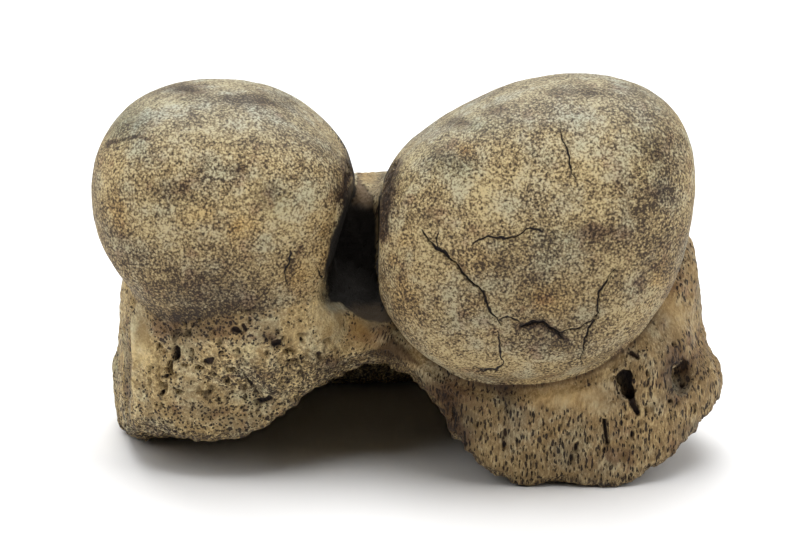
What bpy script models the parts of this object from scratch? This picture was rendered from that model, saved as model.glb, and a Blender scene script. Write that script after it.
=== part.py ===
"""The distal end of a mammoth's right femur, broken off above the knee joint.

The bone stands on its broken upper end, so its two condyles point up. +X runs from the lateral
condyle to the medial one, +Y from the back of the knee to the kneecap's groove, and +Z up.
"""

import math

import bmesh
import bpy
from mathutils import Matrix, Vector, noise

MM = 0.001

# Mesh sizes in millimetres, and the number of triangles that the finished solid is thinned to
VOXEL = 2.0
TRIANGLES = 9500

# Driving dimensions in millimetres, with Y = 0 at the front of the medial foot until the part is centred
MEDIAL_CONDYLE = {
    "centre": (40.5, 16, 81.7),
    "radii": (49.3, 36, 47.5),
    "power": 2.8,
    "lean": 0.14,
    "facets": [((-0.55, 0.1, 0.83), 46.7), ((-0.7, 0.0, -0.7), 50), ((0.7, 0.0, -0.7), 52.5)],
}

LATERAL_CONDYLE = {
    "centre": (-55.5, 32, 85.4),
    "radii": (42.2, 38, 38),
    "power": 2.7,
    "facets": [((0.62, 0.0, 0.78), 40.3), ((-0.75, 0.0, -0.66), 39.5), ((-0.7, 0.0, 0.7), 51)],
}

# Each rocker runs from inside a condyle, over the joint, into a ridge beside the kneecap's groove
MEDIAL_ROCKER = [
    {"centre": (44, 26, 80), "radii": (41, 38, 42)},
    {"centre": (35, 54, 62), "radii": (39, 44, 44)},
    {"centre": (33, 78, 40), "radii": (34, 42, 44)},
]
LATERAL_ROCKER = [
    {"centre": (-55, 37, 83), "radii": (38, 38, 38)},
    {"centre": (-48, 56, 63), "radii": (35, 42, 42)},
    {"centre": (-42, 78, 40), "radii": (30, 40, 42)},
]
ROCKER_STEPS = 6

# The widened end of the shaft, the joint's side knobs and the floor of the kneecap's groove
WALLS = {
    "shaft": {"centre": (0, 62, 2), "radii": (90, 50, 62), "power": 3.0},
    "medial_wall": {"centre": (52, 36, 16), "radii": (46, 36, 50), "power": 3.0},
    "lateral_wall": {"centre": (-58, 47, 28), "radii": (33, 42, 56), "power": 3.0},
    "lateral_slope": {"centre": (-47, 35, 54), "radii": (34, 37, 34), "power": 2.3},
    "popliteal_bridge": {"centre": (-6, 46, 24), "radii": (42, 30, 24), "power": 2.6},
    "medial_epicondyle": {"centre": (77, 42, 46), "radii": (21.3, 26, 41), "power": 2.4, "lean": -0.1},
    "medial_flare": {"centre": (82, 34, 23), "radii": (23, 24, 20), "power": 2.2},
    "lateral_epicondyle": {"centre": (-80, 60, 16), "radii": (16, 26, 24), "power": 2.2},
    "groove_floor": {"centre": (-6, 74, 38), "radii": (34, 36, 44), "power": 2.4},
}

# Pits where blood vessels entered the walls
PITS = {
    "medial_pit": {"centre": (88, 13, 33), "radii": (4.5, 5.5, 5.5)},
    "medial_slot": {"centre": (70.5, 0, 33), "radii": (2.8, 9, 5)},
    "medial_slot_foot": {"centre": (73.5, 0, 26), "radii": (2.4, 3.5, 7)},
    "lateral_foramen": {"centre": (-73, 19, 38), "radii": (2.6, 5, 2.8)},
}

# The broken underside, as heights above the floor: the arch under the notch with its bevelled rim, the
# vault behind it, the lateral foot's lifted front corner, the medial foot's lifted side and the splinters
ARCH = {"x": -6, "height": 29, "lateral_width": 36, "medial_width": 24.5, "closes_at_y": 84, "over": 6}
ARCH_BEVEL = {"height": 12, "ends_at_y": 32, "over": 16}
VAULT = {"x": -6, "y": 58, "height": 8, "width": 52, "depth": 22}
LATERAL_LIFT = {"x": -95, "y": 2, "height": 21.5, "width": 41, "depth": 28}
MEDIAL_LIFT = {"x": 64, "height": 15, "width": 30, "power": 1.4}
SPLINTERS = {"height": 3.2, "size": 9, "worn_down": 0.8}

# The intercondylar notch as X and Z points of its outline, between its posterior and anterior ends in Y
NOTCH = [(-25, 58), (-24.5, 66), (-14, 96), (-12, 150), (-3, 150), (-6.5, 100), (-6.5, 60), (-6.5, 45), (-16, 52)]
NOTCH_ENDS = (-60, 58)
NOTCH_SLANT = 3

# How firmly a facet's edge is rounded, and how many rounds relax the body and the cut edges
FACET_EDGE = 9
BODY_ROUNDS = 18
EDGE_ROUNDS = 3

# The break's relief is sampled over a square around the bone
RELIEF_HALF = 130
RELIEF_STEP = 3
RELIEF_CENTRE_Y = 50
CUTTER_DEPTH = 60
FLOOR_WIDTH = 600

# Thinning the mesh lifts the flats by less than this
LEVELLED = 0.1

BONE_COLOUR = (0.25, 0.195, 0.125, 1.0)
BONE_ROUGHNESS = 0.6


def clear_scene():
    for obj in list(bpy.data.objects):
        bpy.data.objects.remove(obj)


def mesh_object(name, bm):
    """Turns a finished bmesh into an object, with its faces looking outwards."""
    bmesh.ops.recalc_face_normals(bm, faces=bm.faces)
    mesh = bpy.data.meshes.new(name)
    bm.to_mesh(mesh)
    bm.free()
    obj = bpy.data.objects.new(name, mesh)
    bpy.context.scene.collection.objects.link(obj)
    return obj


def lobe(name, centre, radii, power=2.2, lean=0.0, facets=(), detail=4):
    """A rounded block: an icosphere pushed out to a superellipsoid and flattened by its facets.

    Each facet is a direction and its distance from the centre, and the block leans in X as it rises.
    """
    bm = bmesh.new()
    bmesh.ops.create_icosphere(bm, subdivisions=detail, radius=1.0)
    for vert in bm.verts:
        d = vert.co.normalized()
        reach = sum(abs(d[i] / radii[i]) ** power for i in range(3)) ** (-1 / power)
        limits = [d.dot(Vector(normal).normalized()) / far for normal, far in facets]
        soft = reach**-FACET_EDGE + sum(max(0.0, limit) ** FACET_EDGE for limit in limits)
        point = d * soft ** (-1 / FACET_EDGE)
        point.x += lean * point.z
        vert.co = (point + Vector(centre)) * MM
    return mesh_object(name, bm)


def rocker(name, path):
    """Lobes along a curve through three stations, close enough to join into one smooth band."""
    lobes = []
    for i in range(ROCKER_STEPS + 1):
        t = i / ROCKER_STEPS
        weights = ((1 - t) ** 2, 2 * t * (1 - t), t * t)
        blended = {}
        for key in ("centre", "radii"):
            stations = [Vector(station[key]) for station in path]
            blended[key] = sum((w * s for w, s in zip(weights, stations)), Vector())
        lobes.append(lobe(f"{name}_{i}", power=2.3, **blended))
    return lobes


def bake(obj):
    """Replaces the object's mesh with what its modifiers make of it."""
    graph = bpy.context.evaluated_depsgraph_get()
    mesh = bpy.data.meshes.new_from_object(obj.evaluated_get(graph))
    obj.modifiers.clear()
    obj.data = mesh


def boolean(obj, others, operation):
    """Joins or cuts the object with closed meshes, which are then removed."""
    collection = bpy.data.collections.new(operation)
    bpy.context.scene.collection.children.link(collection)
    for other in others:
        collection.objects.link(other)
    modifier = obj.modifiers.new(operation, "BOOLEAN")
    modifier.operation = operation
    modifier.operand_type = "COLLECTION"
    modifier.collection = collection
    modifier.solver = "EXACT"
    bake(obj)
    for other in others:
        bpy.data.objects.remove(other)
    bpy.data.collections.remove(collection)


def blend(obj, rounds):
    """Remeshes the joined pieces evenly and relaxes them, which fillets where they meet."""
    remesh = obj.modifiers.new("remesh", "REMESH")
    remesh.mode = "VOXEL"
    remesh.voxel_size = VOXEL * MM
    smooth = obj.modifiers.new("smooth", "SMOOTH")
    smooth.factor = 0.5
    smooth.iterations = rounds
    bake(obj)


def notch_cutter():
    """The intercondylar notch: a deep slot, wider at its floor, that ends at the kneecap's groove."""
    bm = bmesh.new()
    rings = []
    for y, shift in zip(NOTCH_ENDS, (-NOTCH_SLANT, NOTCH_SLANT)):
        rings.append([bm.verts.new(Vector((x + shift, y, z)) * MM) for x, z in NOTCH])
    count = len(NOTCH)
    for i in range(count):
        j = (i + 1) % count
        bm.faces.new((rings[0][i], rings[0][j], rings[1][j], rings[1][i]))
    bm.faces.new(rings[0])
    bm.faces.new(list(reversed(rings[1])))
    return mesh_object("notch", bm)


def hump(x, y, shape):
    """A smooth round rise of the given height, width and depth."""
    return shape["height"] * math.exp(
        -(((x - shape["x"]) / shape["width"]) ** 2) - ((y - shape["y"]) / shape["depth"]) ** 2
    )


def break_height(x, y):
    """How high the broken underside lies above the floor, in mm."""
    width = ARCH["lateral_width"] if x < ARCH["x"] else ARCH["medial_width"]
    open_in_front = 1 / (1 + math.exp((y - ARCH["closes_at_y"]) / ARCH["over"]))
    bevel = ARCH_BEVEL["height"] * min(1.0, max(0.0, (ARCH_BEVEL["ends_at_y"] - y) / ARCH_BEVEL["over"]))
    arch = (ARCH["height"] + bevel) * math.exp(-(((x - ARCH["x"]) / width) ** 2)) * open_in_front
    outwards = max(0.0, (x - MEDIAL_LIFT["x"]) / MEDIAL_LIFT["width"])
    medial_lift = MEDIAL_LIFT["height"] * outwards ** MEDIAL_LIFT["power"]
    place = Vector((x, y, 0.0)) / SPLINTERS["size"]
    splinters = SPLINTERS["height"] * noise.fractal(place, 0.9, 2.1, 3) - SPLINTERS["worn_down"]
    return arch + hump(x, y, VAULT) + hump(x, y, LATERAL_LIFT) + medial_lift + splinters


def break_cutter():
    """Everything under the broken surface: a block whose top is the underside's own relief."""
    bm = bmesh.new()
    count = 2 * RELIEF_HALF // RELIEF_STEP + 1
    grid = []
    for j in range(count):
        row = []
        for i in range(count):
            x = -RELIEF_HALF + i * RELIEF_STEP
            y = RELIEF_CENTRE_Y - RELIEF_HALF + j * RELIEF_STEP
            row.append(bm.verts.new(Vector((x, y, break_height(x, y))) * MM))
        grid.append(row)
    for j in range(count - 1):
        for i in range(count - 1):
            bm.faces.new((grid[j][i], grid[j][i + 1], grid[j + 1][i + 1], grid[j + 1][i]))
    rim = [edge for edge in bm.edges if edge.is_boundary]
    made = bmesh.ops.extrude_edge_only(bm, edges=rim)["geom"]
    for item in made:
        if isinstance(item, bmesh.types.BMVert):
            item.co.z = -CUTTER_DEPTH * MM
    bmesh.ops.holes_fill(bm, edges=[edge for edge in bm.edges if edge.is_boundary], sides=0)
    return mesh_object("break", bm)


def floor_cutter():
    """Everything below the floor, so that the bone stands on small flats at one level."""
    bm = bmesh.new()
    bmesh.ops.create_cube(bm, size=1.0)
    for vert in bm.verts:
        vert.co.x *= FLOOR_WIDTH * MM
        vert.co.y *= FLOOR_WIDTH * MM
        vert.co.z = (vert.co.z - 0.5) * CUTTER_DEPTH * MM
    return mesh_object("floor", bm)


def keep_largest(obj):
    """Drops any scrap that the cuts left loose."""
    bm = bmesh.new()
    bm.from_mesh(obj.data)
    waiting = set(bm.verts)
    islands = []
    while waiting:
        island = set()
        edge_of = [waiting.pop()]
        while edge_of:
            vert = edge_of.pop()
            island.add(vert)
            near = {edge.other_vert(vert) for edge in vert.link_edges} & waiting
            waiting -= near
            edge_of.extend(near)
        islands.append(island)
    islands.sort(key=len)
    for island in islands[:-1]:
        bmesh.ops.delete(bm, geom=list(island), context="VERTS")
    bm.to_mesh(obj.data)
    bm.free()


def centre_on_floor(obj):
    """Moves the mesh so that the origin is the middle of its box's bottom, and levels the flats there."""
    points = [vert.co for vert in obj.data.vertices]
    low = [min(point[axis] for point in points) for axis in range(3)]
    high = [max(point[axis] for point in points) for axis in range(3)]
    shift = Vector((-(low[0] + high[0]) / 2, -(low[1] + high[1]) / 2, -low[2]))
    obj.data.transform(Matrix.Translation(shift))
    for vert in obj.data.vertices:
        if vert.co.z < LEVELLED * MM:
            vert.co.z = 0.0


def bone_material():
    material = bpy.data.materials.new("bone")
    material.use_nodes = True
    shader = material.node_tree.nodes["Principled BSDF"]
    shader.inputs["Base Color"].default_value = BONE_COLOUR
    shader.inputs["Roughness"].default_value = BONE_ROUGHNESS
    shader.inputs["Metallic"].default_value = 0.0
    return material


def build():
    clear_scene()
    pieces = [lobe(name, **values) for name, values in WALLS.items()]
    pieces += rocker("medial_rocker", MEDIAL_ROCKER)
    pieces += rocker("lateral_rocker", LATERAL_ROCKER)
    pieces.append(lobe("lateral_condyle", **LATERAL_CONDYLE))
    bone, rest = pieces[0], pieces[1:]
    boolean(bone, rest, "UNION")
    blend(bone, BODY_ROUNDS)
    boolean(bone, [lobe("medial_condyle", **MEDIAL_CONDYLE)], "UNION")
    cutters = [notch_cutter(), break_cutter()]
    cutters += [lobe(name, detail=3, **values) for name, values in PITS.items()]
    boolean(bone, cutters, "DIFFERENCE")
    blend(bone, EDGE_ROUNDS)
    boolean(bone, [floor_cutter()], "DIFFERENCE")
    keep_largest(bone)
    thin = bone.modifiers.new("thin", "DECIMATE")
    thin.ratio = TRIANGLES / (2 * len(bone.data.polygons))
    bake(bone)
    centre_on_floor(bone)
    bone.name = "femur_fragment"
    bone.data.materials.append(bone_material())
    bone.data.shade_smooth()


build()
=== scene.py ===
"""The looks of the mammoth femur fragment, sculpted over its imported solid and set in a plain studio.

Lengths are in millimetres until a mesh is written. A place given in pixels is one in the photograph's
800 x 533 frame, carried onto the part of the surface that this camera sees.
"""

import itertools
import math

import bmesh
import bpy
import numpy as np
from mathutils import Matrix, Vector


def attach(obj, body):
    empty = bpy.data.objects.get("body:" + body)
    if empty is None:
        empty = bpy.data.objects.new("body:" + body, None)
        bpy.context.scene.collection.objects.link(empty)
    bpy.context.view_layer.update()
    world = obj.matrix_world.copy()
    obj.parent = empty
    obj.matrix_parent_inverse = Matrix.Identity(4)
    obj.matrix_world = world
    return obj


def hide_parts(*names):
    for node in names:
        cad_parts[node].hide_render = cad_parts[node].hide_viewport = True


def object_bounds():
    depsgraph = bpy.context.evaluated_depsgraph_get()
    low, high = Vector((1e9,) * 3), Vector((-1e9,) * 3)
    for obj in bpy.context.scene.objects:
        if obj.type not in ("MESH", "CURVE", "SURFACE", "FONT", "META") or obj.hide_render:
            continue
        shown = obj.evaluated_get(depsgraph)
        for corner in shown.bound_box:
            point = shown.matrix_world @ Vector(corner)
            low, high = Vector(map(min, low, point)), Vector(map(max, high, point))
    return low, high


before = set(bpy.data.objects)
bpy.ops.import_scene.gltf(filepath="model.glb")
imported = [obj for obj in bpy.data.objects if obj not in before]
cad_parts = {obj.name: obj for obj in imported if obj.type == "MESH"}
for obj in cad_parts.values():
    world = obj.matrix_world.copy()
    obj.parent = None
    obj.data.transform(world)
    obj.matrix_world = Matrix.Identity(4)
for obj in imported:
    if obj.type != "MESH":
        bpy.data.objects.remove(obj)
cad_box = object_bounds()

MM = 0.001

# The camera, from the photograph's own perspective
PHOTO_SIZE = (800, 533)
PIXEL = 0.319
CAMERA_TARGET = np.array((-3.65, -19.85, 64.2))
CAMERA_DISTANCE = 850.0
CAMERA_ELEVATION = math.radians(17)
SENSOR = 36.0

# Soft lights as (name, azimuth and elevation in degrees, how bright each leaves white paper). Azimuth 0 is
# the camera's side and 90 is the right. The white floor throws their light back up.
LIGHTS = [
    ("overhead", 0, 90, 0.76),
    ("right", 80, 40, 0.26),
    ("behind", -170, 50, 0.36),
    ("left", -75, 46, 0.23),
]
LIGHT_ANGLE = math.radians(50)
AMBIENT = 0.03
FLOOR_WHITE = 0.92

# Mesh sizes
VOXEL = 0.56
RELAX_ROUNDS = 36
CAD_MARGIN = 0.05

# The joint surfaces, as the solid's own lobes about its centred origin
CONDYLES = [
    {
        "centre": (36.85, -33.85, 81.7),
        "radii": (49.3, 36, 47.5),
        "power": 2.8,
        "lean": 0.14,
        "facets": [((-0.55, 0.1, 0.83), 46.7), ((-0.7, 0.0, -0.7), 50), ((0.7, 0.0, -0.7), 52.5)],
    },
    {
        "centre": (-59.15, -17.85, 85.4),
        "radii": (42.2, 38, 38),
        "power": 2.7,
        "lean": 0.0,
        "facets": [((0.62, 0.0, 0.78), 40.3), ((-0.75, 0.0, -0.66), 39.5), ((-0.7, 0.0, 0.7), 51)],
    },
]
# How sharp the edges of their facets are
FACET_EDGE = 9

# Cracks as (pixels along the crack, widest half-width in mm, depth in mm)
CRACKS = [
    ([(421, 228), (428, 241), (437, 248), (443, 252), (450, 260), (457, 266), (460, 273), (467, 280),
      (477, 286), (484, 295), (488, 307), (497, 318), (501, 326)], 0.4, 1.5),
    ([(497, 330), (498, 338), (500, 343), (500, 356), (504, 363), (502, 368), (496, 372), (484, 372),
      (473, 368)], 0.2, 0.8),
    ([(437, 248), (437, 238), (438, 230)], 0.18, 0.5),
    ([(470, 246), (478, 241), (488, 236), (497, 239), (506, 238), (520, 236), (527, 230), (535, 230),
      (545, 232)], 0.26, 0.8),
    ([(499, 318), (507, 317), (515, 319), (521, 322)], 0.17, 0.6),
    ([(519, 327), (526, 324), (535, 322), (543, 323), (549, 328), (557, 333), (563, 339)], 0.34, 1.7),
    ([(557, 333), (563, 331), (576, 330), (588, 324), (597, 317)], 0.22, 0.7),
    ([(560, 119), (561, 130), (563, 140), (569, 157), (571, 168), (576, 181)], 0.2, 0.7),
    ([(617, 266), (607, 281), (599, 294), (598, 314), (589, 328), (586, 339), (582, 354), (581, 367)],
     0.27, 1.1),
    ([(290, 250), (291, 262), (286, 272), (288, 286)], 0.26, 0.8),
    ([(318, 268), (326, 281), (333, 287), (330, 298)], 0.26, 0.8),
]

# Holes as (points in pixels, each with its radius in pixels, depth in mm)
HOLES = [
    ([(624, 377, 7), (626, 385, 7), (629, 393, 5.5)], 5.0),
    ([(630, 396, 4.5), (634, 405, 4), (638, 414, 3)], 2.2),
    ([(673, 402, 3)], 2.5),
    ([(605, 421, 1.8), (606, 432, 2.6), (608, 445, 1.6)], 3.0),
    ([(674, 344, 3.6)], 2.2),
    ([(634, 354, 4), (638, 357, 3)], 2.0),
    ([(177, 349, 4), (177, 357, 4)], 3.5),
    ([(166, 376, 3.4)], 2.5),
    ([(162, 393, 3.2)], 2.5),
    ([(274, 345, 3), (279, 343, 4)], 2.5),
    ([(303, 341, 3)], 2.0),
    ([(216, 373, 3.2)], 2.0),
    ([(205, 361, 3), (211, 361, 3.5)], 1.5),
    ([(233, 330, 3), (239, 332, 3)], 1.5),
    ([(243, 326, 3), (246, 331, 2.5)], 1.5),
    ([(246, 380, 2.5), (252, 385, 2.5)], 1.6),
    ([(320, 354, 3)], 1.5),
    ([(300, 371, 3.5)], 1.5),
    ([(262, 401, 4), (272, 399, 3)], 1.5),
    ([(192, 408, 2.5)], 1.5),
]

# Soft folds as (pixels along the fold, half-width in pixels, depth in mm, raised where that is negative)
FOLDS = [
    ([(127, 330), (126, 360), (124, 385), (123, 405), (124, 425)], 5, 1.3),
    ([(134, 318), (134, 350), (135, 380), (137, 418)], 3.5, -0.8),
    ([(141, 345), (142, 375), (147, 400)], 4, 0.7),
    ([(300, 330), (291, 350), (277, 372)], 7, 1.0),
    ([(676, 300), (669, 325), (655, 345)], 5, 0.8),
    ([(595, 392), (601, 420), (604, 450)], 4, 0.6),
    ([(545, 392), (543, 425), (546, 455)], 6, 0.5),
    ([(645, 395), (660, 430), (655, 455)], 7, 0.7),
]

# Marks as (pixel, half-width and half-height in pixels, pale above 0 and dark below): mostly the bone's own
# patches, some painted light and shade
MARKS_AND_SHADING = [
    ((215, 300), (50, 30), -1.0),
    ((188, 325), (56, 15), -0.9),
    ((128, 124), (20, 13), -0.5),
    ((208, 158), (12, 4), -1.2),
    ((234, 170), (14, 4), -1.3),
    ((170, 188), (17, 12), -0.9),
    ((186, 89), (20, 6), -1.7),
    ((224, 89), (16, 5), 1.2),
    ((226, 98), (6, 4), -1.0),
    ((256, 100), (26, 7), -1.5),
    ((284, 104), (10, 5), -0.8),
    ((272, 191), (8, 7), -2.6),
    ((272, 203), (7, 6), -0.8),
    ((446, 160), (20, 12), -0.7),
    ((492, 110), (12, 6), -1.5),
    ((458, 122), (14, 5), -1.1),
    ((575, 93), (30, 5), -1.2),
    ((628, 122), (6, 4), -1.2),
    ((470, 108), (26, 5), 0.8),
    ((430, 214), (9, 7), -1.2),
    ((459, 316), (10, 6), -0.6),
    ((503, 265), (8, 6), -0.9),
    ((655, 196), (18, 8), -0.4),
    ((535, 340), (28, 14), -1.0),
    ((592, 232), (20, 8), -1.3),
    ((620, 190), (30, 14), -0.5),
    ((664, 170), (22, 44), -0.5),
    ((560, 290), (50, 40), -0.35),
    ((670, 260), (18, 45), -0.6),
    ((456, 428), (20, 34), -1.6),
    ((440, 395), (16, 20), -1.5),
    ((505, 400), (22, 14), -0.5),
    ((690, 430), (16, 12), -0.9),
    ((704, 368), (12, 30), -0.7),
    ((484, 420), (26, 24), -0.6),
    # painted shade in the shallow pit on the medial wall
    ((677, 366), (14, 23), -2.1),
    ((683, 400), (18, 10), -0.8),
    ((640, 455), (40, 12), -0.6),
    ((565, 397), (45, 14), 0.9),
    ((660, 310), (26, 12), 0.5),
    ((605, 375), (14, 10), 0.8),
    ((150, 370), (20, 30), 0.6),
    ((205, 385), (40, 20), 0.4),
    ((245, 345), (22, 12), 0.7),
    ((250, 420), (45, 12), -0.6),
    ((270, 335), (10, 6), -0.9),
    ((330, 335), (24, 16), 0.3),
    ((320, 362), (26, 6), -0.9),
    ((368, 176), (14, 9), -0.5),
    ((372, 331), (24, 12), -1.2),
    # painted shade in the hollow beside the bridge
    ((396, 350), (18, 8), -0.6),
    ((510, 182), (34, 14), 0.5),
    ((625, 235), (40, 24), -0.4),
    ((230, 133), (36, 24), 1.2),
    ((150, 210), (26, 14), 0.5),
    ((300, 215), (28, 22), 0.5),
    ((470, 190), (50, 20), 0.5),
    ((560, 205), (36, 16), 0.6),
    # painted light on the low part of the medial condyle
    ((430, 330), (36, 34), 0.5),
    ((415, 250), (24, 24), 0.5),
    # painted light along the bottom of the medial condyle
    ((510, 365), (60, 10), 0.6),
]

# Marks that follow a line, as (pixels along it, half-width in pixels, strength): some the bone's own, some
# painted light and shade
STRIPES_AND_SHADING = [
    # painted shade where the lateral condyle turns into the notch
    ([(352, 160), (349, 180), (343, 200)], 7, -2.6),
    ([(107, 144), (122, 139), (136, 136), (147, 139)], 1.8, -1.6),
    # painted shade where the medial condyle turns into the notch
    ([(394, 164), (389, 182), (385, 205), (382, 235)], 7, -2.4),
    ([(342, 200), (337, 210), (336, 220)], 1.6, 3.0),
    ([(352, 178), (349, 186)], 1.5, 2.5),
    ([(300, 250), (290, 270), (287, 290)], 3, -0.8),
    ([(332, 262), (336, 285), (330, 300)], 3, -0.9),
    ([(230, 344), (262, 338), (290, 345)], 4, -0.6),
    ([(210, 380), (250, 372), (282, 378)], 3, -0.8),
    ([(240, 392), (262, 385), (285, 392)], 3, -0.7),
    # painted shade in the groove at the far left
    ([(126, 345), (123, 385), (122, 420)], 5, -1.0),
    # painted light on the ridge beside that groove
    ([(134, 318), (134, 360), (136, 415)], 3, 1.2),
    ([(522, 328), (540, 321), (556, 333), (568, 341)], 4, -1.7),
    # painted shade under the medial condyle's lip
    ([(470, 385), (510, 391), (560, 390), (600, 378)], 4, -0.5),
    ([(505, 390), (508, 408)], 6, -0.8),
    ([(150, 415), (190, 408), (225, 412)], 5, -0.7),
]

# Stains as (pixel, half-width and half-height in pixels, ochre above 0 and olive grey below)
STAINS = [
    ((464, 151), (14, 8), 1.3),
    ((446, 163), (24, 15), -1.4),
    ((500, 280), (12, 12), -0.9),
    ((478, 125), (24, 8), -0.8),
    ((400, 180), (16, 20), -0.5),
    ((530, 298), (44, 16), 1.0),
    ((480, 262), (26, 26), 0.5),
    ((400, 270), (14, 40), 0.8),
    ((425, 300), (20, 16), 0.5),
    ((560, 240), (26, 12), -0.7),
    ((500, 245), (14, 10), -0.5),
    ((650, 150), (20, 34), -0.6),
    ((660, 290), (16, 30), 0.6),
    ((452, 318), (12, 8), -0.7),
    ((325, 235), (14, 34), 1.2),
    ((300, 280), (18, 18), 0.8),
    ((230, 240), (26, 16), 0.6),
    ((245, 225), (16, 10), 0.7),
    ((124, 122), (24, 20), -1.3),
    ((200, 215), (26, 10), 0.8),
    ((275, 200), (18, 18), -0.6),
    ((175, 210), (30, 12), -0.4),
    ((195, 100), (30, 10), -0.5),
    ((118, 215), (12, 26), 0.7),
    ((505, 400), (14, 14), -0.9),
    ((470, 430), (20, 26), -0.3),
    ((560, 395), (46, 16), 0.7),
    ((600, 430), (40, 20), 0.5),
    ((120, 380), (10, 40), -0.8),
    ((365, 325), (22, 16), 1.2),
    ((366, 176), (14, 10), 0.9),
    ((250, 350), (26, 10), 0.5),
]

# Where the walls are smooth, as (pixel, half-width and half-height in pixels)
SMOOTH = [
    ((366, 332), (26, 16)),
    ((392, 352), (16, 10)),
    ((330, 320), (16, 24)),
    ((565, 396), (46, 13)),
    ((600, 400), (22, 18)),
    ((672, 318), (16, 22)),
    ((140, 340), (10, 24)),
    ((300, 335), (14, 10)),
]

# Outlines in pixels of painted shade: the black inside of the notch, its browner top and foot, and the hollow
# beside the bridge
SLIT = [(349, 186), (356, 178), (365, 187), (373, 197), (376, 215), (377, 240), (376, 265), (379, 290),
        (384, 305), (390, 320), (380, 323), (364, 320), (352, 312), (341, 303), (331, 301), (326, 285),
        (325, 266), (330, 242), (338, 222), (345, 203)]
SLIT_TOP = [(350, 178), (360, 178), (372, 196), (373, 206), (364, 205), (352, 202)]
SLIT_FOOT = [(342, 310), (354, 306), (370, 305), (383, 304), (396, 330), (384, 332), (364, 328)]
WEDGE = [(367, 357), (379, 346), (391, 339), (402, 344), (413, 356), (420, 366), (402, 361), (385, 357)]

# What the outlines fill, as (outline, attribute, softness of the edge in pixels, fullness)
FILLS = [
    (SLIT, "slot", 1.5, 1),
    (SLIT_TOP, "slot_half_shade", 6, 1),
    (SLIT_FOOT, "slot_half_shade", 6, 0.5),
    (WEDGE, "wedge", 3, 1),
]

# How far round a feature points are looked at: in pixels, or in half-widths for a soft line
CRACK_MARGIN = 12
HOLE_MARGIN = 20
FILL_MARGIN = 8
SOFT_MARGIN = 3

# Sunken pores as (whether they are medial, cell size in mm, radius in cells, depth in mm, seed). Those on the
# medial side are drawn out along the shaft.
PORES = [
    (True, (3.6, 3.6, 9.0), 0.21, 1.7, 40),
    (True, (2.0, 2.0, 4.6), 0.24, 1.0, 50),
    (False, (3.9, 3.9, 4.6), 0.23, 1.5, 60),
    (False, (1.9, 1.9, 2.1), 0.26, 0.9, 70),
]
# The share of cells that hold a pore, medial or not, and what is added to it near the feet
PORE_SHARES = {True: (0.12, 0.5), False: (0.3, 0.2)}

# Noises as (bump size in mm, seed)
JOINT_WAVER = (4, 81)
CRACK_BENDS = (2.4, 31)
CRACK_KINKS = (1.1, 32)
CRACK_WIDTHS = (2.6, 33)
HOLE_RIMS = (1.8, 34)
STRIPE_RIMS = (2.0, 36)
FILL_RIMS = (1.6, 37)
CRUMBS = (1.8, 15)
PORE_DRIFT = (17, 47)

# Fractal noises as (bump size in mm, octaves, seed)
BROAD = (22, 3, 1)
MIDDLING = (5, 3, 5)
STREAKS = (3.2, 3, 9)
BREAKAGE = (3.0, 3, 12)
MARK_NOISE = (7, 4, 91)
STAIN_NOISE = (9, 4, 95)

# Ranges over which one kind of surface turns into another. A range falls where its first value is greater.
# In millimetres outside a condyle's lobe:
JOINT_EDGE = (2.2, 1.2)
UNDER_LIP = ((0.6, 2.0), (7.0, 2.5))
LIP_SHADE = ((1.2, 2.2), (4.2, 2.8))
# In millimetres across, back or up:
MEDIAL_EDGE = (-18, 6)
UNDER_LIP_BACK = (10, -10)
UNDER_LIP_TOP = (78, 66)
LIP_SHADE_BACK = (0, -20)
LIP_SHADE_TOP = (72, 60)
SLOT_HALF = (13, 9)
SLOT_FRONT = (-56, -46)
SLOT_BACK = (18, 8)
SLOT_FLOOR = (51, 55)
BROKEN_TOP = (62, 50)
LOW_PART = (40, 14)
# The height over which the painted shade low on the joints comes in
LOW_JOINT = (108, 62)
STANDING = (0.0, 1.5)
# In how far a normal points at the camera, down or up:
FACING = (0.02, 0.35)
BROKEN_TILT = (0.1, 0.5)
UPWARD_TILT = (0.35, 0.95)

# The slot between the condyles, by where its middle is across and how its floor leans, in mm
SLOT_MIDDLE = -17
SLOT_LEAN = 0.7
SLOT_LEAN_FROM = -20

# How deep the wall is cut back under the medial condyle's lip, in mm
LIP_UNDERCUT = 2.0

# The radius in pixels above which a hole gets less painted shade inside, and how dark the marks must be to
# crumble
DARK_RADIUS = 5
CRUMBS_FROM = 1.7

# A distance beyond all that matter to a crack or a cell
FAR_OFF = 9.0

# How finely depths are compared to find what the camera sees, in pixels, and how far behind the nearest point
# another still counts as seen, in mm
SEEN_BLOCK = 3
SEEN_SLACK = 5

# What mixes whole coordinates and a seed into a value that looks random
HASH_PRIMES = (73856093, 19349663, 83492791)
HASH_SEED = 2654435761
HASH_ROUNDS = ((16, 0x7FEB352D), (15, 0x846CA68B))

# The bone's colours
CREAM = (0.62, 0.53, 0.325, 1)
TAN = (0.29, 0.222, 0.122, 1)
BROWN = (0.062, 0.043, 0.027, 1)
# Painted shade on the low down-facing fractured surfaces, keeping the underside of the bone dark
UNDERSIDE_SHADE = (0.045, 0.030, 0.022, 1)
# Painted shade inside the holes and pores, browner or darker by patches
HOLE_SHADE_BROWN = (0.048, 0.027, 0.017, 1)
# Painted half shade at the notch's top and foot
NOTCH_HALF_SHADE = (0.17, 0.118, 0.068, 1)
PORE = (0.030, 0.020, 0.014, 1)
# The grey of dust and of a painted sheen from the overhead light, on up-facing surfaces
DUST_AND_SHEEN = (0.35, 0.31, 0.235, 1)
DARK = (0.014, 0.009, 0.008, 1)
# Painted shade inside the notch
NOTCH_SHADE = (0.018, 0.0145, 0.011, 1)

# Tints, which a colour is multiplied by
SHADED = (0.32, 0.27, 0.24, 1)
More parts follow.
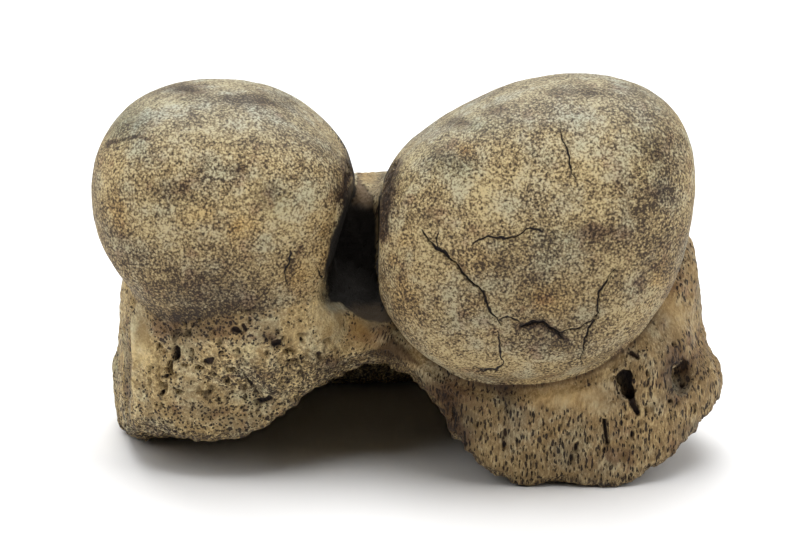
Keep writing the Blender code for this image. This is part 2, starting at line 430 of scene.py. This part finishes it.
# A cool tint for that dust and painted sheen
DUST_AND_SHEEN_TINT = (0.84, 0.94, 1.14, 1)
GREYED = (0.93, 0.99, 1.04, 1)
# Painted shade, darkening the joints towards the bottom
LOW_SHADE = (0.74, 0.72, 0.70, 1)
LIGHTER = (1.20, 1.15, 1.07, 1)
OCHRE = (1.10, 0.94, 0.68, 1)
OLIVE = (0.76, 0.84, 0.86, 1)
FADED = (0.91, 0.835, 0.775, 1)
GOLDEN = (1.06, 0.99, 0.84, 1)
VIOLET = (0.78, 0.69, 0.70, 1)
# How much grey the dust and painted sheen on up-facing surfaces add
DUST_AND_SHEEN_SHARE = 0.17

# The material's noises, as (bump size in mm, detail, roughness), and its specks' cell size in mm
GRAINS = (0.8, 3.0, 0.7)
PATCHES = (5.5, 4.0, 0.62)
AREAS = (26.0, 3.0, 0.55)
CROWDING = (9.0, 4.0, 0.62)
GRIT = (1.0, 3.0, 0.7)
PORE_RIMS = (1.1, 2.0, 0.6)
HUES = (11.0, 4.0, 0.6)
BRUISES = (9.0, 4.0, 0.65)
SPECK_CELL = 0.78

# Painted pores as (cell size in mm, range of the rim in cells, range of crowding over which they come)
LARGE_PORES = (1.9, (0.30, 0.20), (0.43, 0.55))
FINE_PORES = (1.15, (0.34, 0.22), (0.35, 0.52))
PITS = (3.1, (0.24, 0.14), (0.42, 0.54))
# How a place is scaled to draw the medial side's pattern out along the shaft
UPRIGHT = (1.3, 1.3, 0.42)

# Ranges of paleness over which brown turns to tan and tan to cream
JOINT_TAN = (0.36, 0.46)
JOINT_CREAM = (0.48, 0.62)
WALL_TAN = (0.33, 0.44)
WALL_CREAM = (0.48, 0.72)

# The floor's disc, in metres
FLOOR_RADIUS = 6.0
FLOOR_SEGMENTS = 96


def hashed(cell, seed):
    """A repeatable value from 0 to 1 for each point with whole coordinates."""
    mixed = np.uint32(seed * HASH_SEED % 2**32)
    for axis, prime in enumerate(HASH_PRIMES):
        mixed = mixed ^ (cell[:, axis].astype(np.int64).astype(np.uint32) * np.uint32(prime))
    for shift, factor in HASH_ROUNDS:
        mixed = (mixed ^ (mixed >> np.uint32(shift))) * np.uint32(factor)
    return (mixed ^ (mixed >> np.uint32(16))) / 2.0**32


def noise(points, size, seed):
    """Smooth noise from -1 to 1 whose bumps are about that many millimetres across."""
    place = points / size
    base = np.floor(place)
    part = place - base
    part = part * part * (3 - 2 * part)
    total = np.zeros(len(points))
    for corner in itertools.product((0, 1), repeat=3):
        weight = np.where(np.array(corner, bool), part, 1 - part).prod(axis=1)
        total += weight * hashed(base + corner, seed)
    return 2 * total - 1


def fractal(points, size, octaves, seed):
    """Noise with finer and fainter bumps on top, from about -0.7 to 0.7."""
    total = sum(noise(points, size / 2**i, seed + i) * 0.5**i for i in range(octaves))
    return total / (2 - 0.5 ** (octaves - 1))


def cells(points, size, seed):
    """How far each point is from the nearest of many scattered ones, in cells, and that one's own value."""
    place = points / np.array(size)
    base = np.floor(place)
    nearest = np.full(len(points), FAR_OFF)
    value = np.zeros(len(points))
    for offset in itertools.product((-1, 0, 1), repeat=3):
        cell = base + offset
        gap = np.stack([hashed(cell, seed + axis) for axis in range(3)], axis=1) + cell - place
        distance = np.linalg.norm(gap, axis=1)
        closer = distance < nearest
        nearest = np.where(closer, distance, nearest)
        value = np.where(closer, hashed(cell, seed + 3), value)
    return nearest, value


def step(value, low, high):
    """0 below low, 1 above high and smooth between. It falls instead where low is the greater."""
    part = np.clip((value - low) / (high - low), 0, 1)
    return part * part * (3 - 2 * part)


def over_lobe(points, lobe):
    """How far each point is outside a lobe, along the line from its centre."""
    away = points - lobe["centre"]
    away[:, 0] -= lobe["lean"] * away[:, 2]
    distance = np.linalg.norm(away, axis=1)
    direction = away / distance[:, None]
    power = lobe["power"]
    reach = (np.abs(direction / lobe["radii"]) ** power).sum(axis=1) ** (-1 / power)
    soft = reach**-FACET_EDGE
    for normal, far in lobe["facets"]:
        normal = np.array(normal) / np.linalg.norm(normal)
        soft += np.maximum(direction @ normal / far, 0) ** FACET_EDGE
    return distance - soft ** (-1 / FACET_EDGE)


def camera_axes():
    """The camera's right, its up and its back, away from what it looks at."""
    back = np.array((0, -math.cos(CAMERA_ELEVATION), math.sin(CAMERA_ELEVATION)))
    right = np.array((1.0, 0, 0))
    return right, np.cross(back, right), back


def in_photo(points):
    """Each point's pixel in the photograph, and its distance in front of the camera."""
    right, up, back = camera_axes()
    away = points - (CAMERA_TARGET + CAMERA_DISTANCE * back)
    depth = -away @ back
    scale = CAMERA_DISTANCE / PIXEL / depth
    x = PHOTO_SIZE[0] / 2 + away @ right * scale
    y = PHOTO_SIZE[1] / 2 - away @ up * scale
    return np.stack([x, y], axis=1), depth


def seen(pixels, depth, towards):
    """Which points the camera sees: those that face it and have nothing much nearer before them."""
    spot = np.floor(pixels / SEEN_BLOCK).astype(int)
    spot -= spot.min(axis=0)
    spot = spot[:, 0] * (spot[:, 1].max() + 1) + spot[:, 1]
    nearest = np.full(spot.max() + 1, np.inf)
    np.minimum.at(nearest, spot, depth)
    return (depth < nearest[spot] + SEEN_SLACK) & (towards > FACING[0])


def along(path, places):
    """How far each place is to the left of a path, in pixels, and its share of the way along it."""
    path = np.array(path, float)
    lengths = np.linalg.norm(np.diff(path, axis=0), axis=1)
    starts = np.concatenate([[0], np.cumsum(lengths)])
    best = np.full(len(places), np.inf)
    side = np.zeros(len(places))
    share = np.zeros(len(places))
    for i, length in enumerate(lengths):
        way = (path[i + 1] - path[i]) / length
        away = places - path[i]
        t = away @ way
        off = away[:, 0] * way[1] - away[:, 1] * way[0]
        over = t - np.clip(t, 0, length)
        distance = np.hypot(off, over)
        closer = distance < best
        best = np.where(closer, distance, best)
        side = np.where(closer, np.where(off < 0, -distance, distance), side)
        share = np.where(closer, (starts[i] + t) / starts[-1], share)
    return side, share


def within(outline, places):
    """How far each place is inside a closed outline, in pixels, and below 0 outside it."""
    gap = np.abs(along(outline + outline[:1], places)[0])
    x, y = places.T
    inside = np.zeros(len(places), bool)
    for (x0, y0), (x1, y1) in zip(outline, outline[1:] + outline[:1]):
        crosses = (y0 > y) != (y1 > y)
        inside ^= crosses & (x < x0 + (x1 - x0) * (y - y0) / ((y1 - y0) or 1))
    return np.where(inside, gap, -gap)


def near_holes(pixels, chain):
    """How deep each place is inside a chain of discs, from 1 on its middle line to 0 at the rim."""
    inside = np.zeros(len(pixels))
    links = list(zip(chain, chain[1:])) or [(chain[0], chain[0])]
    for (x0, y0, r0), (x1, y1, r1) in links:
        way = np.array((x1 - x0, y1 - y0), float)
        away = pixels - (x0, y0)
        share = np.clip(away @ way / max(way @ way, 1e-9), 0, 1)
        gap = np.linalg.norm(away - share[:, None] * way, axis=1)
        inside = np.maximum(inside, 1 - gap / (r0 + (r1 - r0) * share))
    return inside


def near_path(path, margin, front, pixels):
    """The seen points within a margin, in pixels, of a path's box."""
    low = np.min(path, axis=0)[:2] - margin
    high = np.max(path, axis=0)[:2] + margin
    return np.flatnonzero(front & (pixels > low).all(axis=1) & (pixels < high).all(axis=1))


def spread(pixels, centre, halves):
    """The square of how far out each place is in an ellipse, with 1 on its rim."""
    return (((pixels - centre) / halves) ** 2).sum(axis=1)


def base_mesh(node):
    """An even, finely divided copy of the CAD node's surface."""
    bm = bmesh.new()
    bm.from_mesh(node.data)
    bmesh.ops.remove_doubles(bm, verts=bm.verts, dist=1e-6)
    mesh = bpy.data.meshes.new("femur_bone")
    bm.to_mesh(mesh)
    bm.free()
    obj = bpy.data.objects.new("femur_bone", mesh)
    bpy.context.scene.collection.objects.link(obj)
    remesh = obj.modifiers.new("remesh", "REMESH")
    remesh.mode = "VOXEL"
    remesh.voxel_size = VOXEL * MM
    relax = obj.modifiers.new("relax", "SMOOTH")
    relax.factor = 0.5
    relax.iterations = RELAX_ROUNDS
    graph = bpy.context.evaluated_depsgraph_get()
    made = bpy.data.meshes.new_from_object(obj.evaluated_get(graph))
    obj.modifiers.clear()
    obj.data = made
    made.materials.clear()
    return obj


def read_mesh(mesh):
    """The mesh's points in millimetres and their normals."""
    points = np.empty(len(mesh.vertices) * 3)
    mesh.vertices.foreach_get("co", points)
    normals = np.empty(len(mesh.vertices) * 3, np.float32)
    mesh.vertex_normals.foreach_get("vector", normals)
    return points.reshape(-1, 3) / MM, normals.reshape(-1, 3).astype(float)


def joint_surfaces(points):
    """How far each point is on a joint surface, under the medial condyle's lip, and in that lip's shade."""
    y, z = points[:, 1], points[:, 2]
    outside = [over_lobe(points, lobe) for lobe in CONDYLES]
    wavy = 0.7 * noise(points, *JOINT_WAVER)
    joint = np.max([step(np.abs(out + 0.4 * wavy), *JOINT_EDGE) for out in outside], axis=0)
    under = step(outside[0], *UNDER_LIP[0]) * step(outside[0], *UNDER_LIP[1]) * (1 - joint)
    under = under * step(y, *UNDER_LIP_BACK) * step(z, *UNDER_LIP_TOP)
    shade = step(outside[0], *LIP_SHADE[0]) * step(outside[0], *LIP_SHADE[1])
    shade = shade * step(y, *LIP_SHADE_BACK) * step(z, *LIP_SHADE_TOP)
    return joint, under, shade


def add_cracks(points, pixels, front, moved):
    """Cuts the cracks. Each point keeps its distance to a crack's middle line and the crack's half-width."""
    side_of = np.full(len(points), FAR_OFF)
    width_of = np.full(len(points), -1.0)
    for path, width, deep in CRACKS:
        near = near_path(path, CRACK_MARGIN, front, pixels)
        side, share = along(path, pixels[near])
        side = side * PIXEL + noise(points[near], *CRACK_BENDS) * 0.5
        side = side + noise(points[near], *CRACK_KINKS) * 0.4
        profile = np.clip(1.1 * np.sin(np.pi * np.clip(share, 0, 1)) ** 0.45, 0, 1)
        inside = (share > 0) & (share < 1) & (np.abs(side) < 2)
        half = np.where(inside, width * profile * (1 + 0.9 * noise(points[near], *CRACK_WIDTHS)), -1)
        moved[near] -= deep * np.clip(1 - np.abs(side) / (half + 0.5), 0, 1) * inside * profile
        nearer = inside & (np.abs(side) < np.abs(side_of[near]))
        side_of[near[nearer]] = side[nearer]
        width_of[near[nearer]] = half[nearer]
    return side_of, width_of


def add_holes(points, pixels, front, moved, hollow):
    """Sinks the holes, with more ragged rims on the lateral side. The widest get less painted shade inside.
    """
    for chain, deep in HOLES:
        near = near_path(chain, HOLE_MARGIN, front, pixels)
        ragged = 0.36 - 0.16 * step(points[near, 0], *MEDIAL_EDGE)
        inside = near_holes(pixels[near], chain) + ragged * noise(points[near], *HOLE_RIMS)
        inside = np.clip(inside, 0, 1)
        moved[near] -= deep * np.sqrt(inside) * step(inside, 0, 0.3)
        widest = max(radius for _, _, radius in chain)
        hollow[near] = np.maximum(hollow[near], inside * min(1, DARK_RADIUS / widest))


def add_folds(pixels, front, facing, moved):
    """Presses in the soft folds, which fade out over the last fifth of their length and past it."""
    for path, half, deep in FOLDS:
        near = near_path(path, SOFT_MARGIN * half, front, pixels)
        side, share = along(path, pixels[near])
        ends = np.minimum(share, 1 - share).clip(-0.2, 0.2) * 5
        moved[near] -= deep * np.exp(-((side / half) ** 2)) * step(ends, -0.6, 1) * facing[near]


def add_pores(points, place, moved, hollow, size, radius, deep, density, seed):
    """Scatters holes of one size over the chosen points, where their value falls under the density, and marks
    them for painted shade inside.
    """
    distance, value = cells(points[place], size, seed)
    width = radius * (0.6 + 0.7 * (value * 7 % 1))
    inside = np.where(value < density[place], np.clip(1 - distance / width, 0, 1), 0)
    moved[place] -= deep * np.sqrt(inside)
    hollow[place] = np.maximum(hollow[place], inside)


def blotches(spots, pixels, front):
    """The sum of soft spots, each given as (pixel, half-width and half-height in pixels, strength)."""
    total = np.zeros(len(pixels))
    for centre, halves, strength in spots:
        total += strength * np.exp(-spread(pixels, centre, halves)) * front
    return total


def fill_outlines(points, pixels, front):
    """How far each point is in the slot between the condyles, in its browner ends and in the wedge, all
    painted shade.
    """
    x, y, z = points.T
    slot = step(np.abs(x - SLOT_MIDDLE), *SLOT_HALF) * step(y, *SLOT_FRONT) * step(y, *SLOT_BACK)
    slot *= step(z + SLOT_LEAN * (x - SLOT_LEAN_FROM), *SLOT_FLOOR) * (1 - front)
    fills = {"slot": slot, "slot_half_shade": np.zeros(len(points)), "wedge": np.zeros(len(points))}
    for outline, name, soft, most in FILLS:
        near = near_path(outline, FILL_MARGIN, front, pixels)
        inside = within(outline, pixels[near]) + 1.2 * noise(points[near], *FILL_RIMS)
        fills[name][near] = np.maximum(fills[name][near], most * step(inside, -soft, soft))
    return fills


def sculpt(obj):
    """Moves the surface into its fine relief and stores what its material needs to know."""
    points, normals = read_mesh(obj.data)
    x, z = points[:, 0], points[:, 2]
    pixels, depth = in_photo(points)
    towards = normals @ camera_axes()[2]
    front = seen(pixels, depth, towards)
    moved = np.zeros(len(points))
    # How deep in a hole or pore each point is, for the painted shade inside
    hollow = np.zeros(len(points))

    joint, under_lip, lip_shade = joint_surfaces(points)
    wall = 1 - joint
    moved -= LIP_UNDERCUT * under_lip
    crack_side, crack_width = add_cracks(points, pixels, front, moved)
    add_holes(points, pixels, front, moved, hollow)
    add_folds(pixels, front, step(towards, *FACING), moved)

    # Marks and stripes: the bone's own patches, with painted light and shade among them
    mark_and_shading = blotches(MARKS_AND_SHADING, pixels, front) * (1 + 1.1 * fractal(points, *MARK_NOISE))
    stain = blotches(STAINS, pixels, front) * (1 + 0.9 * fractal(points, *STAIN_NOISE))
    for path, half, strength in STRIPES_AND_SHADING:
        near = near_path(path, SOFT_MARGIN * half, front, pixels)
        side = along(path, pixels[near])[0] + 0.5 * half * noise(points[near], *STRIPE_RIMS)
        mark_and_shading[near] += strength * np.exp(-((side / half) ** 2))
    smooth = np.zeros(len(points))
    for centre, halves in SMOOTH:
        smooth = np.maximum(smooth, np.exp(-(spread(pixels, centre, halves) ** 1.5)) * front)
    fills = fill_outlines(points, pixels, front)
    # Low down-facing fractured surfaces: rough relief here, and painted shade in the material
    broken_underside = step(-normals[:, 2], *BROKEN_TILT) * wall * step(z, *BROKEN_TOP)

    # Broad and middling unevenness, gentle on the joints and rougher on the walls, and crumbs where the marks
    # and painted shade are darkest
    moved += fractal(points, *BROAD) * (0.5 + 0.7 * wall)
    moved += fractal(points, *MIDDLING) * (0.18 + 0.8 * wall * (1 - 0.5 * smooth))
    moved += fractal(points * (1, 1, 0.3), *STREAKS) * 0.7 * wall * (1 - 0.7 * smooth)
    moved += fractal(points, *BREAKAGE) * 1.4 * broken_underside
    crumbs = np.clip(-mark_and_shading - CRUMBS_FROM, 0, 1) * front
    moved += (noise(points, *CRUMBS) - 0.6) * 0.9 * crumbs

    # Holes of vessels and of the spongy bone, in the walls only
    medial = step(x, *MEDIAL_EDGE)
    low_part = step(z, *LOW_PART)
    drift = 0.25 * noise(points, *PORE_DRIFT) - 0.5 * smooth
    for is_medial, size, radius, deep, seed in PORES:
        place = np.flatnonzero((wall > 0.3) & ((medial > 0.5) == is_medial))
        share, more = PORE_SHARES[is_medial]
        density = share + more * low_part + drift
        add_pores(points, place, moved, hollow, size, radius, deep, density, seed)

    # The flats that it stands on stay where they are, and nothing leaves the solid's box
    moved *= step(z, *STANDING)
    points = points + normals * moved[:, None]
    low = np.array(cad_box[0]) / MM + CAD_MARGIN * np.array((1, 1, 0))
    high = np.array(cad_box[1]) / MM - CAD_MARGIN
    points = np.clip(points, low, high)
    obj.data.vertices.foreach_set("co", (points * MM).astype(np.float32).ravel())
    obj.data.update()
    for name, values in {
        "joint": joint,
        "hollow": hollow,
        "crack_side": crack_side,
        "crack_width": crack_width,
        "mark_and_shading": mark_and_shading,
        **fills,
        "lip": lip_shade,
        # up-facing surfaces, which get dust and painted sheen
        "upward_dust_and_sheen": step(normals[:, 2], *UPWARD_TILT),
        # painted shade low on the joints
        "low_joint_shade": joint * step(z, *LOW_JOINT),
        "low_part": low_part,
        "stain": stain,
        "broken_underside": broken_underside,
        "medial": medial,
        "smooth": smooth,
    }.items():
        attribute = obj.data.attributes.new(name, "FLOAT", "POINT")
        attribute.data.foreach_set("value", values.astype(np.float32))
    obj.data.shade_smooth()


class Graph:
    """A material's node tree, built by calls that return what they make."""

    def __init__(self, name):
        self.material = bpy.data.materials.new(name)
        self.material.use_nodes = True
        self.tree = self.material.node_tree
        self.shader = self.tree.nodes["Principled BSDF"]
        self.place = self.node("ShaderNodeTexCoord").outputs["Object"]

    def node(self, kind, inputs=None, **settings):
        made = self.tree.nodes.new(kind)
        for key, value in settings.items():
            setattr(made, key, value)
        for key, value in (inputs or {}).items():
            self.put(value, made.inputs[key])
        return made

    def put(self, value, socket):
        if isinstance(value, bpy.types.NodeSocket):
            self.tree.links.new(value, socket)
        else:
            socket.default_value = value

    def maths(self, operation, first, second=0.0, third=0.0, clamp=False):
        inputs = {0: first, 1: second, 2: third}
        return self.node("ShaderNodeMath", inputs, operation=operation, use_clamp=clamp).outputs[0]

    def plus(self, base, *terms):
        """The base with more added to it, each term as a value and its factor."""
        for value, factor in terms:
            base = self.maths("MULTIPLY_ADD", value, factor, base)
        return base

    def step(self, value, low, high):
        inputs = {"Value": value, "From Min": low, "From Max": high}
        return self.node("ShaderNodeMapRange", inputs, interpolation_type="SMOOTHSTEP").outputs["Result"]

    def noise(self, size, detail, roughness, place=None):
        inputs = {
            "Vector": place or self.place,
            "Scale": 1 / (size * MM),
            "Detail": detail,
            "Roughness": roughness,
        }
        return self.node("ShaderNodeTexNoise", inputs).outputs["Fac"]

    def cells(self, size, place=None):
        inputs = {"Vector": place or self.place, "Scale": 1 / (size * MM)}
        return self.node("ShaderNodeTexVoronoi", inputs).outputs["Distance"]

    def mix(self, share, first, second, blend="MIX"):
        made = self.node("ShaderNodeMix", data_type="RGBA", blend_type=blend)
        self.put(share, made.inputs["Factor"])
        self.put(first, made.inputs[6])
        self.put(second, made.inputs[7])
        return made.outputs[2]

    def tinted(self, share, colour, tint):
        """The colour, with that share of it multiplied by the tint."""
        return self.mix(share, colour, self.mix(1.0, colour, tint, "MULTIPLY"))

    def attribute(self, name):
        return self.node("ShaderNodeAttribute", attribute_name=name).outputs["Fac"]

    def stretched(self, scale):
        inputs = {0: self.place, 1: scale}
        return self.node("ShaderNodeVectorMath", inputs, operation="MULTIPLY").outputs[0]


def bone_material():
    """Weathered bone: grained joints, porous walls, and the marks, painted light and painted shade that the
    mesh's attributes place.
    """
    g = Graph("femur_bone")
    joint = g.attribute("joint")
    hollow = g.attribute("hollow")
    mark_and_shading = g.attribute("mark_and_shading")
    medial = g.attribute("medial")
    smooth = g.attribute("smooth")

    # How pale each spot of a joint is: grains and specks, over patches of several sizes
    grains = g.noise(*GRAINS)
    specks = g.cells(SPECK_CELL)
    patches = g.noise(*PATCHES)
    areas = g.noise(*AREAS)
    value = g.plus(grains, (specks, -0.26), (patches, 0.38), (areas, 0.28), (mark_and_shading, 0.06))
    value = g.maths("SUBTRACT", value, 0.21)
    tone = g.mix(g.step(value, *JOINT_TAN), BROWN, TAN)
    joint_colour = g.mix(g.step(value, *JOINT_CREAM), tone, CREAM)
    # Painted shade: the joints are darker towards the bottom, as the light falls from above
    joint_colour = g.tinted(g.attribute("low_joint_shade"), joint_colour, LOW_SHADE)

    # The walls: browner, with grit and pores drawn out along the shaft on the medial side
    streaked = g.mix(medial, g.place, g.stretched(UPRIGHT))
    crowd = g.plus(g.noise(*CROWDING), (mark_and_shading, -0.14), (g.attribute("low_part"), 0.15), (smooth, -0.22))
    ragged = g.maths("MULTIPLY_ADD", g.noise(*PORE_RIMS, streaked), 0.9, -0.45)

    def holes(size, rim, crowding, place):
        edge = g.maths("ADD", g.cells(size, place), ragged)
        return g.maths("MULTIPLY", g.step(edge, *rim), g.step(crowd, *crowding))

    pits = g.maths("MULTIPLY", holes(*PITS, g.place), g.maths("SUBTRACT", 1.0, medial))
    pores = g.maths("MAXIMUM", holes(*LARGE_PORES, streaked), pits)
    pores = g.maths("MAXIMUM", pores, holes(*FINE_PORES, streaked))
    grit = g.noise(*GRIT, streaked)
    gritty = g.maths("MULTIPLY_ADD", smooth, -0.45, 0.72)
    value = g.maths("MULTIPLY_ADD", g.maths("SUBTRACT", grit, 0.5), gritty, 0.53)
    value = g.plus(value, (patches, 0.36), (areas, 0.20), (mark_and_shading, 0.06))
    value = g.maths("SUBTRACT", value, 0.26)
    tone = g.mix(g.step(value, *WALL_TAN), BROWN, TAN)
    walls = g.mix(g.step(value, *WALL_CREAM), tone, CREAM)
    walls = g.mix(g.maths("MULTIPLY", pores, 0.95), walls, PORE)
    walls = g.mix(1.0, walls, g.mix(medial, LIGHTER, FADED), "MULTIPLY")

    # Hues over both, dust and painted sheen on top, then the marks with their painted light and shade,
    # painted shade on the fractured underside and in the hollows, and the cracks
    colour = g.mix(joint, walls, joint_colour)
    hue = g.noise(*HUES)
    colour = g.tinted(g.step(hue, 0.60, 0.44), colour, GOLDEN)
    colour = g.tinted(g.step(hue, 0.55, 0.68), colour, GREYED)
    bruises = g.step(g.plus(g.noise(*BRUISES), (mark_and_shading, -0.10)), 0.56, 0.70)
    colour = g.tinted(bruises, colour, VIOLET)
    stain = g.attribute("stain")
    colour = g.tinted(g.maths("MULTIPLY", stain, 0.8, clamp=True), colour, OCHRE)
    colour = g.tinted(g.maths("MULTIPLY", stain, -0.8, clamp=True), colour, OLIVE)
    # Dust and painted sheen on up-facing surfaces, greyer and cooler
    dust_and_sheen = g.mix(DUST_AND_SHEEN_SHARE, g.mix(1.0, colour, DUST_AND_SHEEN_TINT, "MULTIPLY"), DUST_AND_SHEEN)
    colour = g.mix(g.attribute("upward_dust_and_sheen"), colour, dust_and_sheen)
    # Darker where the marks are dark, in part painted shade
    colour = g.tinted(g.maths("MULTIPLY", mark_and_shading, -0.34, clamp=True), colour, SHADED)
    # Painted shade on the low down-facing fractured surfaces, patchy with the grit
    broken_underside = g.maths("MULTIPLY", g.attribute("broken_underside"), g.step(grit, 0.64, 0.36))
    colour = g.mix(broken_underside, colour, UNDERSIDE_SHADE)
    # Painted shade inside the holes and sculpted pores
    depths = g.mix(g.step(patches, 0.42, 0.62), DARK, HOLE_SHADE_BROWN)
    colour = g.mix(g.step(hollow, 0.05, 0.5), colour, depths)
    crack = g.maths("SUBTRACT", g.attribute("crack_width"), g.maths("ABSOLUTE", g.attribute("crack_side")))
    crack = g.step(crack, -0.12, 0.1)
    colour = g.mix(crack, colour, DARK)
    for shaded in ("lip", "wedge"):
        colour = g.tinted(g.attribute(shaded), colour, SHADED)
    # Painted shade inside the notch between the condyles, browner at its top and foot
    notch_shade = g.mix(g.attribute("slot_half_shade"), NOTCH_SHADE, NOTCH_HALF_SHADE)
    colour = g.mix(g.attribute("slot"), colour, notch_shade)
    g.put(colour, g.shader.inputs["Base Color"])

    # Fine relief and gloss
    joint_height = g.plus(g.maths("MULTIPLY", grains, 0.42), (specks, -0.14))
    wall_height = g.plus(g.maths("MULTIPLY", grit, 0.8), (pores, -0.5))
    height = g.plus(g.mix(joint, wall_height, joint_height), (crack, -0.4))
    bump = g.node("ShaderNodeBump", {"Height": height, "Strength": 1.0, "Distance": MM})
    g.put(bump.outputs["Normal"], g.shader.inputs["Normal"])
    rough = g.node("ShaderNodeMapRange", {"Value": grains, "To Min": 0.8, "To Max": 0.55})
    g.put(rough.outputs["Result"], g.shader.inputs["Roughness"])
    g.put(0.3, g.shader.inputs["Specular IOR Level"])
    return g.material


def floor_material():
    """Plain matt white."""
    g = Graph("floor_white")
    g.put((FLOOR_WHITE, FLOOR_WHITE, FLOOR_WHITE, 1), g.shader.inputs["Base Color"])
    g.put(0.9, g.shader.inputs["Roughness"])
    g.put(0.1, g.shader.inputs["Specular IOR Level"])
    return g.material


def studio():
    """The white floor, the faint light of the surroundings and the four soft lights."""
    mesh = bpy.data.meshes.new("floor")
    bm = bmesh.new()
    bmesh.ops.create_circle(bm, cap_ends=True, segments=FLOOR_SEGMENTS, radius=FLOOR_RADIUS)
    bm.to_mesh(mesh)
    bm.free()
    floor = bpy.data.objects.new("floor", mesh)
    bpy.context.scene.collection.objects.link(floor)
    mesh.materials.append(floor_material())

    world = bpy.data.worlds.new("studio")
    world.use_nodes = True
    world.node_tree.nodes["Background"].inputs["Color"].default_value = (1, 1, 1, 1)
    world.node_tree.nodes["Background"].inputs["Strength"].default_value = AMBIENT
    bpy.context.scene.world = world

    for name, azimuth, elevation, brightness in LIGHTS:
        around, above = math.radians(azimuth), math.radians(elevation)
        way = Vector((math.sin(around), -math.cos(around), math.tan(above)))
        data = bpy.data.lights.new(name, "SUN")
        data.angle = LIGHT_ANGLE
        data.energy = brightness * math.pi / math.sin(above)
        lamp = bpy.data.objects.new(name, data)
        lamp.rotation_mode = "QUATERNION"
        lamp.rotation_quaternion = way.to_track_quat("Z", "Y")
        lamp.location = way.normalized()
        bpy.context.scene.collection.objects.link(lamp)


def camera():
    """The camera that took the photograph, as far as it can be told."""
    back = camera_axes()[2]
    data = bpy.data.cameras.new("camera")
    data.sensor_width = SENSOR
    data.lens = SENSOR * CAMERA_DISTANCE / PIXEL / PHOTO_SIZE[0]
    data.clip_start = 0.01
    obj = bpy.data.objects.new("camera", data)
    obj.location = Vector((CAMERA_TARGET + CAMERA_DISTANCE * back) * MM)
    obj.rotation_mode = "QUATERNION"
    obj.rotation_quaternion = Vector(-back).to_track_quat("-Z", "Y")
    bpy.context.scene.collection.objects.link(obj)
    bpy.context.scene.camera = obj


bone = base_mesh(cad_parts["femur_fragment"])
sculpt(bone)
bone.data.materials.append(bone_material())
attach(bone, "root")
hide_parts("femur_fragment")
studio()
camera()
bpy.context.scene.view_settings.view_transform = "Standard"
